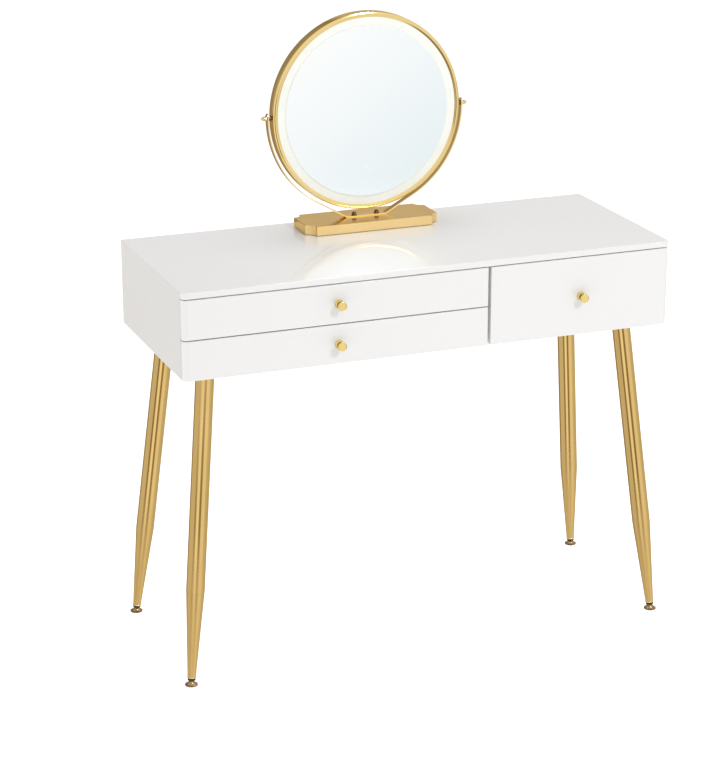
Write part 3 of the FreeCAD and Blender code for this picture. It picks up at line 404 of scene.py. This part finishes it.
def make_floor():
    """A wide pale floor, lit evenly so that it meets the white round it."""
    mesh = bpy.data.meshes.new("floor")
    half = 14.0
    corners = [(-half, -half, 0), (half, -half, 0), (half, half, 0), (-half, half, 0)]
    mesh.from_pydata(corners, [], [(0, 1, 2, 3)])
    floor = bpy.data.objects.new("floor", mesh)
    bpy.context.scene.collection.objects.link(floor)
    floor.visible_glossy = False
    look = Look("floor", Roughness=0.9, Emission_Strength=0.52)
    look.color(look.tint(look.noise(3.0, 2.0), (0.93, 0.93, 0.93), (0.95, 0.95, 0.95)))
    look.shader.inputs["Emission Color"].default_value = (1, 1, 1, 1)
    look.material.cycles.emission_sampling = "NONE"
    mesh.materials.append(look.material)


# --- fine pieces ---

def add_piece(name, mesh, body, material):
    """Adds a new piece that rides a body and wears the given material."""
    mesh.materials.append(material)
    piece = bpy.data.objects.new(name, mesh)
    bpy.context.scene.collection.objects.link(piece)
    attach(piece, body)
    return piece


FORWARD = (0, -1, 0)
SHARP_ANGLE = math.radians(40)


def turned_mesh(name, profile, place, axis, steps):
    """A closed profile of (radius, height) points, turned about an axis through a place."""
    axes = Vector(axis).to_track_quat("Z", "Y").to_matrix().to_4x4()
    axes.translation = place
    points = []
    for step in range(steps):
        turn = 2 * math.pi * step / steps
        for radius, height in profile:
            spot = Vector((radius * math.cos(turn), radius * math.sin(turn), height))
            points.append(axes @ spot)
    count = len(profile)
    faces = []
    for step in range(steps):
        here, there = step * count, (step + 1) % steps * count
        for side in range(count):
            after = (side + 1) % count
            faces.append((here + side, there + side, there + after, here + after))
    mesh = bpy.data.meshes.new(name)
    mesh.from_pydata(points, [], faces)
    mesh.shade_smooth()
    mesh.set_sharp_from_angle(angle=SHARP_ANGLE)
    return mesh


def bead_profile(radius, height, wide, tall, sides):
    """An oval bead section at a radius and height."""
    turns = [2 * math.pi * side / sides for side in range(sides)]
    return [(radius + wide * math.cos(turn), height + tall * math.sin(turn)) for turn in turns]


def mirror_middle():
    """The middle of the mirror, in the plane of the frame's front."""
    low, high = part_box("mirror_frame")
    return Vector(((low.x + high.x) / 2, low.y, (low.z + high.z) / 2))


FRAME_LIP = 0.0095
FRAME_WALL = 0.002
FRAME_BEVEL = 0.0008
CROWN_HEIGHT = 0.0011
CROWN_INSET = 0.0011
CROWN_STEPS = 8
LIP_FLAT = 0.0006
# the frame's eased front edge: how far in from its rim, and back from the crown's foot
EASED_EDGE = ((LIP_FLAT, 0.0), (0.0002, 0.0003), (0.0, 0.0009))


def make_mirror_frame():
    """The frame with its front rolled to a gentle crown between two narrow steps."""
    low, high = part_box("mirror_frame")
    reach = (high.x - low.x) / 2
    depth = high.y - low.y
    inner = reach - FRAME_LIP
    middle = reach - FRAME_LIP / 2
    half_crown = FRAME_LIP / 2 - CROWN_INSET
    profile = [(inner, -FRAME_WALL), (inner, -CROWN_HEIGHT * 1.2), (inner + LIP_FLAT, -CROWN_HEIGHT)]
    for step in range(CROWN_STEPS + 1):
        across = 2 * step / CROWN_STEPS - 1
        profile.append((middle + across * half_crown, -CROWN_HEIGHT * 0.9 * across * across))
    profile += [(reach - inwards, -CROWN_HEIGHT - back) for inwards, back in EASED_EDGE]
    profile += [
        (reach, FRAME_BEVEL - depth), (reach - FRAME_BEVEL, -depth),
        (reach - FRAME_WALL, -depth), (reach - FRAME_WALL, -FRAME_WALL),
    ]
    mesh = turned_mesh("rolled_frame", profile, mirror_middle(), FORWARD, 240)
    piece = add_piece("rolled_frame", mesh, "mirror_head", MATERIALS["polished_gold"])
    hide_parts("mirror_frame")


# the glass's ground edge: how far out from its rim, and forward from its face
GROUND_EDGE = (
    (-0.0018, 0.00005), (-0.0006, 0.00005), (-0.0001, -0.0002), (0.0002, -0.0006),
    (0.0002, -0.0014), (-0.0006, -0.0014), (-0.0018, -0.0004),
)


def make_glass_edge():
    """The ground and polished edge of the round glass."""
    low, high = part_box("mirror_glass")
    reach = (high.x - low.x) / 2
    place = mirror_middle()
    place.y = low.y
    profile = [(reach + outwards, forward) for outwards, forward in GROUND_EDGE]
    mesh = turned_mesh("mirror_glass_edge", profile, place, FORWARD, 180)
    add_piece("mirror_glass_edge", mesh, "mirror_head", MATERIALS["glass_edge"])


TOUCH_DROP = 0.111
# name, radius, and half the line's width
TOUCH_MARKS = (("touch_ring", 0.0045, 0.00035), ("touch_dot", 0.001, 0.0009))


def make_touch_mark():
    """A touch switch: a small ring round a dot, etched low on the glass."""
    place = mirror_middle()
    place.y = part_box("mirror_glass")[0].y
    place.z -= TOUCH_DROP
    for name, radius, wide in TOUCH_MARKS:
        profile = bead_profile(radius, height=0.00003, wide=wide, tall=0.00008, sides=8)
        mesh = turned_mesh(name, profile, place, FORWARD, 48)
        add_piece(name, mesh, "mirror_head", MATERIALS["etched"])


KNOB_BORE = 0.0025
KNOB_STEPS = 6
# the knob's rounded rim: radius, and height over the drawer front
KNOB_RIM = (
    (0.0071, 0.0153), (0.0082, 0.0157), (0.00875, 0.0165), (0.00875, 0.0188),
    (0.0086, 0.0193), (0.0082, 0.0196), (0.0078, 0.0196), (0.0074, 0.0194),
)


def knob_foot():
    """The knob's foot: a flange on the drawer front that sweeps in to a neck."""
    flange = 0.0086
    neck = 0.0068
    flare = 0.0015
    start = 0.0018
    height = 0.0076
    profile = [(KNOB_BORE, 0), (flange, 0), (flange, 0.0012), (neck + flare, start)]
    for step in range(1, KNOB_STEPS + 1):
        along = step / KNOB_STEPS
        profile.append((neck + flare * (1 - along) ** 1.8, start + (height - start) * along))
    return profile + [(KNOB_BORE, height)]


def knob_shaded_waist():
    """The waist between foot and head, dark as painted shade."""
    start = 0.0075
    end = 0.0155
    wide = 0.0066
    narrow = 0.006
    slope = 0.002
    sides = [(wide, start), (narrow, start + slope), (narrow, end - slope), (wide, end)]
    return [(KNOB_BORE, start)] + sides + [(KNOB_BORE, end)]


def knob_head():
    """The head: a raised rim round a face that rises a little to its middle."""
    face, face_height = KNOB_RIM[-1]
    rise = 0.0005
    profile = [(0, KNOB_RIM[0][1])] + list(KNOB_RIM)
    for step in range(1, KNOB_STEPS + 1):
        along = step / KNOB_STEPS
        profile.append((face * (1 - along), face_height + rise * along ** 0.6))
    return profile


def make_drawer_knobs():
    """Turned knobs: a flared foot, a waist darkened with painted shade, and a crowned head with a bright rim."""
    sections = (
        ("foot", knob_foot(), "polished_gold", "knob_gold"),
        # the waist wears dark bronze as painted shade for the groove under the head
        ("waist", knob_shaded_waist(), "dark_bronze", "dark_bronze"),
        ("head", knob_head(), "polished_gold", "knob_gold"),
    )
    for drawer in DRAWERS:
        low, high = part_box(f"{drawer}_knob")
        place = Vector(((low.x + high.x) / 2, high.y, (low.z + high.z) / 2))
        for name, profile, slot, look in sections:
            mesh = turned_mesh(f"{drawer}_knob_{name}", profile, place, FORWARD, 72)
            piece = add_piece(f"{drawer}_knob_{name}", mesh, f"{drawer}_drawer", MATERIALS[look])
            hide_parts(f"{drawer}_knob")


FOOT_RADIUS = 0.01225
FOOT_HEIGHT = 0.0086
LEG_END_HEIGHT = 0.015
LEG_END_RADIUS = 0.008
SOLE_INSET = 0.0004


def leg_axis(corner):
    """The middle of a foot, on its leg's axis, and the axis pointing up."""
    low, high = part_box(f"leveller_{corner}")
    x = high.x - FOOT_RADIUS if "right" in corner else low.x + FOOT_RADIUS
    y = low.y + FOOT_RADIUS if "front" in corner else high.y - FOOT_RADIUS
    joint = next(joint for joint in frame["joints"] if joint["name"] == f"{corner}_foot_screw")
    return Vector((x, y, FOOT_HEIGHT / 2)), -Vector(joint["axis"])


def make_leg_ends():
    """A rolled lip round each leg's end in a paler gold as painted highlight, and a dark sole band round each
    foot.
    """
    for corner in CORNERS:
        place, up = leg_axis(corner)
        end = place + up * ((LEG_END_HEIGHT - place.z) / up.z)
        rolled = bead_profile(LEG_END_RADIUS, height=0.0005, wide=0.0006, tall=0.0009, sides=10)
        lip = turned_mesh(f"leg_lip_{corner}", rolled, end, up, 64)
        add_piece(f"leg_lip_{corner}", lip, "carcass", MATERIALS["highlight_gold"])
        sole = bead_profile(FOOT_RADIUS - SOLE_INSET, height=0.00055, wide=0.0006, tall=0.0005, sides=10)
        under = Vector((place.x, place.y, 0))
        band = turned_mesh(f"foot_sole_{corner}", sole, under, (0, 0, 1), 64)
        add_piece(f"foot_sole_{corner}", band, f"{corner}_foot", MATERIALS["pad_rubber"])


dress_cad_nodes()
make_mirror_frame()
make_glass_edge()
make_touch_mark()
make_drawer_knobs()
make_leg_ends()
make_camera()
make_world()
make_light()
make_floor()
